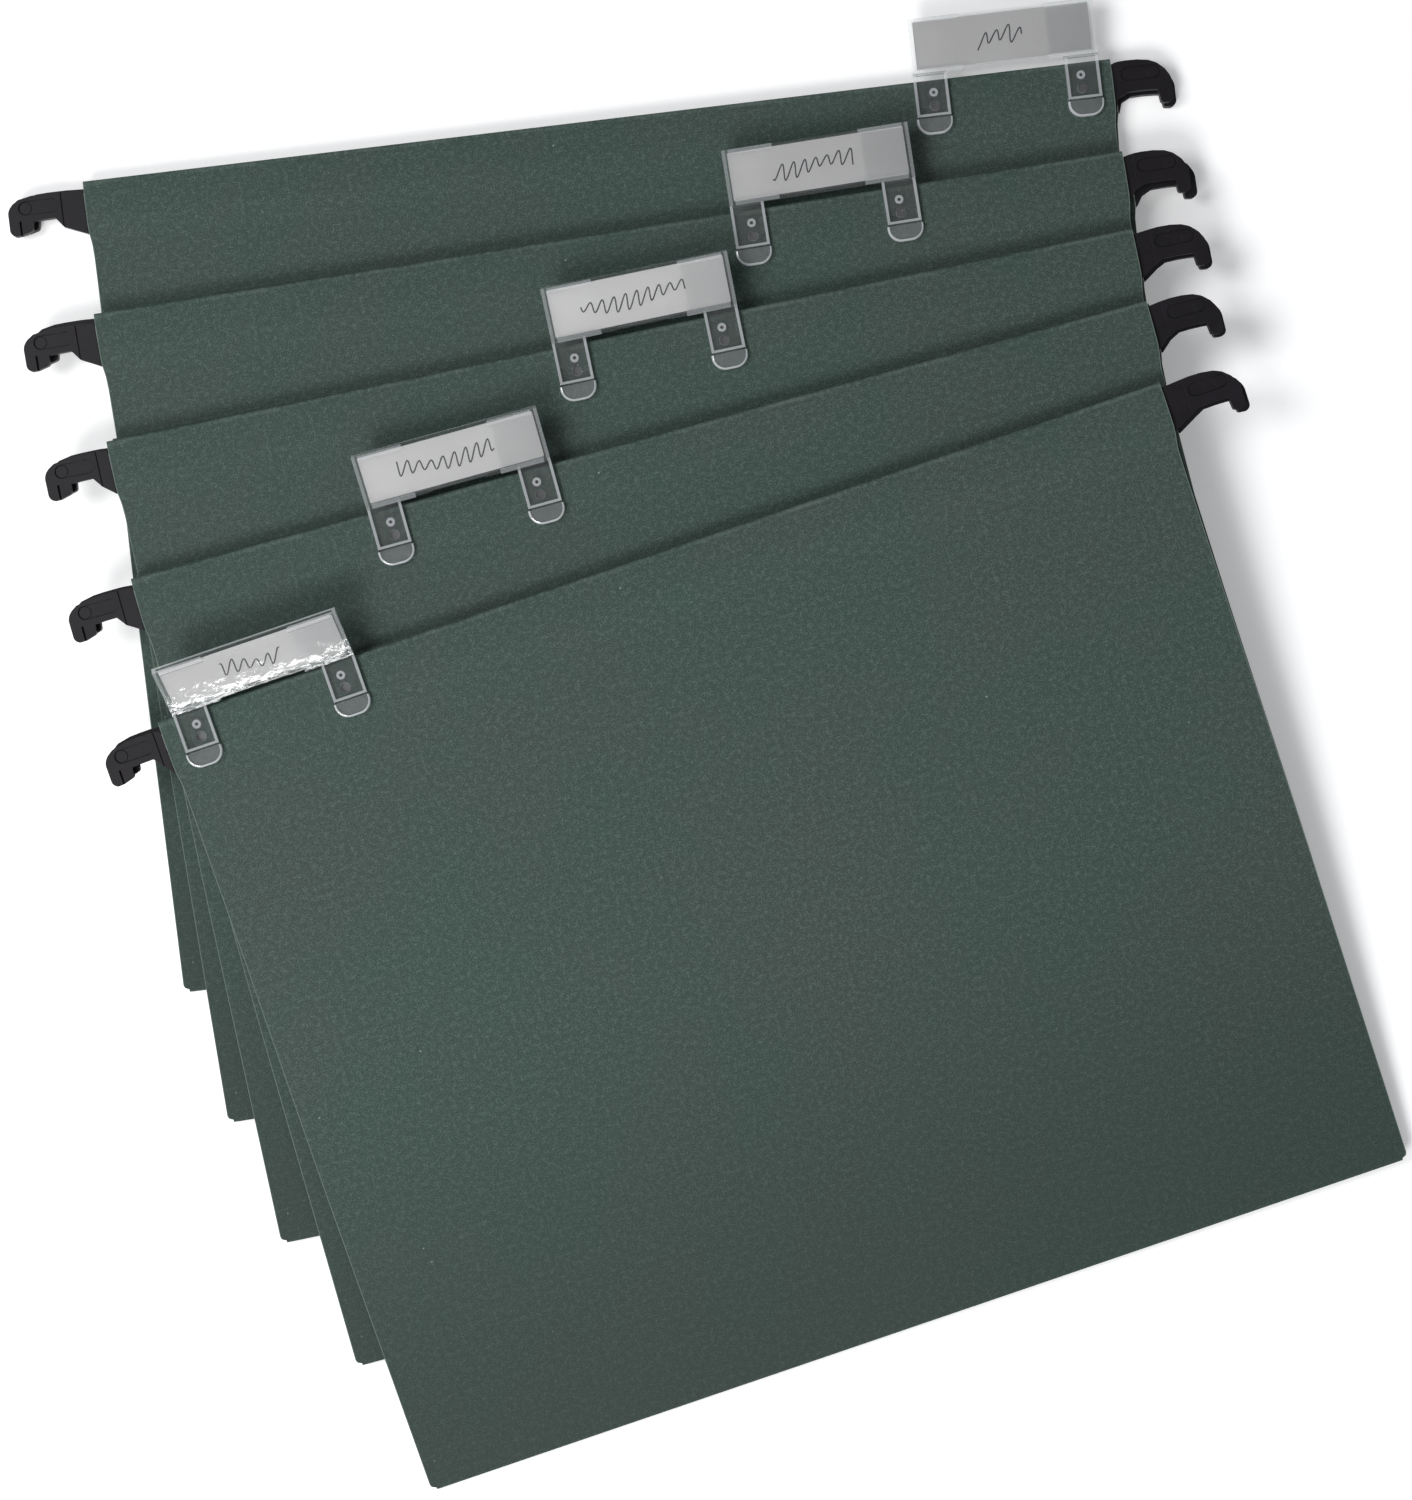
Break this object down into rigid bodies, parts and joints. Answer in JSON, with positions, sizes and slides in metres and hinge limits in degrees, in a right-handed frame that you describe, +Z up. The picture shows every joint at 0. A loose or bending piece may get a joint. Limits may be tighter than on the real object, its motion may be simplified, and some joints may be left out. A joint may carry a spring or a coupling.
{
  "type": "set of suspension files",
  "caption": "Fanned pile of shut suspension files: folded green boards with hemmed top edges, black hooks for filing rails and clear label tabs with card inserts.",
  "frame": {"origin": "middle of the pile's bounding box, on the table", "axes": "+X along the bottom file's hooks, +Y towards the hook edges, +Z up off the table"},
  "size_m": [0.3762, 0.4136, 0.0374],
  "materials": {
    "board": "matt dark green coated board",
    "hook": "moulded black nylon",
    "bar": "plain strip",
    "tab": "clear moulded",
    "card": "uncoated card"
  },
  "bodies": {
    "file5_back": {"file5_back_board": "board", "file5_back_bar": "bar", "file5_back_hook_left": "hook", "file5_back_hook_right": "hook"},
    "file5_front": {"file5_front_board": "board", "file5_front_bar": "bar", "file5_front_hook_left": "hook", "file5_front_hook_right": "hook"},
    "file5_tab": {"file5_tab_holder": "tab"},
    "file5_card": {"file5_tab_card": "card"},
    "file4_back": {"file4_back_board": "board", "file4_back_bar": "bar", "file4_back_hook_left": "hook", "file4_back_hook_right": "hook"},
    "file4_front": {"file4_front_board": "board", "file4_front_bar": "bar", "file4_front_hook_left": "hook", "file4_front_hook_right": "hook"},
    "file4_tab": {"file4_tab_holder": "tab"},
    "file4_card": {"file4_tab_card": "card"},
    "file3_back": {"file3_back_board": "board", "file3_back_bar": "bar", "file3_back_hook_left": "hook", "file3_back_hook_right": "hook"},
    "file3_front": {"file3_front_board": "board", "file3_front_bar": "bar", "file3_front_hook_left": "hook", "file3_front_hook_right": "hook"},
    "file3_tab": {"file3_tab_holder": "tab"},
    "file3_card": {"file3_tab_card": "card"},
    "file2_back": {"file2_back_board": "board", "file2_back_bar": "bar", "file2_back_hook_left": "hook", "file2_back_hook_right": "hook"},
    "file2_front": {"file2_front_board": "board", "file2_front_bar": "bar", "file2_front_hook_left": "hook", "file2_front_hook_right": "hook"},
    "file2_tab": {"file2_tab_holder": "tab"},
    "file2_card": {"file2_tab_card": "card"},
    "file1_back": {"file1_back_board": "board", "file1_back_bar": "bar", "file1_back_hook_left": "hook", "file1_back_hook_right": "hook"},
    "file1_front": {"file1_front_board": "board", "file1_front_bar": "bar", "file1_front_hook_left": "hook", "file1_front_hook_right": "hook"},
    "file1_tab": {"file1_tab_holder": "tab"},
    "file1_card": {"file1_tab_card": "card"}
  },
  "joints": [
    {"name": "file5_open", "type": "hinge", "parent": "file5_back", "child": "file5_front", "pos_m": [-0.01268, -0.05085, 0.0008], "axis": [1, 0, 0], "range_deg": [0, 25]},
    {"name": "file5_tab_off", "type": "slide", "parent": "file5_front", "child": "file5_tab", "axis": [0, -0.0183, 0.9998], "range_m": [0, 0.02]},
    {"name": "file5_card_out", "type": "slide", "parent": "file5_tab", "child": "file5_card", "axis": [0, 0.9944, 0.1054], "range_m": [0, 0.016]},
    {"name": "file4_lift", "type": "slide", "parent": "file5_front", "child": "file4_back", "axis": [0, -0.0183, 0.9998], "range_m": [0, 0.08]},
    {"name": "file4_open", "type": "hinge", "parent": "file4_back", "child": "file4_front", "pos_m": [-0.00438, -0.08488, 0.00208], "axis": [0.9993, 0.0375, 0.0007], "range_deg": [0, 25]},
    {"name": "file4_tab_off", "type": "slide", "parent": "file4_front", "child": "file4_tab", "axis": [0.0007, -0.0366, 0.9993], "range_m": [0, 0.02]},
    {"name": "file4_card_out", "type": "slide", "parent": "file4_tab", "child": "file4_card", "axis": [-0.0374, 0.9953, 0.0889], "range_m": [0, 0.016]},
    {"name": "file3_lift", "type": "slide", "parent": "file4_front", "child": "file3_back", "axis": [0.0007, -0.0366, 0.9993], "range_m": [0, 0.08]},
    {"name": "file3_open", "type": "hinge", "parent": "file3_back", "child": "file3_front", "pos_m": [0.00646, -0.11495, 0.00287], "axis": [0.9964, 0.0845, 0.0024], "range_deg": [0, 25]},
    {"name": "file3_tab_off", "type": "slide", "parent": "file3_front", "child": "file3_tab", "axis": [0.0022, -0.0549, 0.9985], "range_m": [0, 0.02]},
    {"name": "file3_card_out", "type": "slide", "parent": "file3_tab", "child": "file3_card", "axis": [-0.0811, 0.9468, 0.3114], "range_m": [0, 0.016]},
    {"name": "file2_lift", "type": "slide", "parent": "file3_front", "child": "file2_back", "axis": [0.0022, -0.0549, 0.9985], "range_m": [0, 0.08]},
    {"name": "file2_open", "type": "hinge", "parent": "file2_back", "child": "file2_front", "pos_m": [0.02301, -0.14441, 0.00311], "axis": [0.9893, 0.146, 0.0058], "range_deg": [0, 25]},
    {"name": "file2_tab_off", "type": "slide", "parent": "file2_front", "child": "file2_tab", "axis": [0.0049, -0.073, 0.9973], "range_m": [0, 0.02]},
    {"name": "file2_card_out", "type": "slide", "parent": "file2_tab", "child": "file2_card", "axis": [-0.1373, 0.9158, 0.3776], "range_m": [0, 0.016]},
    {"name": "file1_lift", "type": "slide", "parent": "file2_front", "child": "file1_back", "axis": [0.0049, -0.073, 0.9973], "range_m": [0, 0.08]},
    {"name": "file1_open", "type": "hinge", "parent": "file1_back", "child": "file1_front", "pos_m": [0.03863, -0.17491, 0.00271], "axis": [0.9789, 0.2042, 0.0101], "range_deg": [0, 60]},
    {"name": "file1_tab_off", "type": "slide", "parent": "file1_front", "child": "file1_tab", "axis": [0.0087, -0.0909, 0.9958], "range_m": [0, 0.02]},
    {"name": "file1_card_out", "type": "slide", "parent": "file1_tab", "child": "file1_card", "axis": [-0.1624, 0.7463, 0.6455], "range_m": [0, 0.016]}
  ]
}
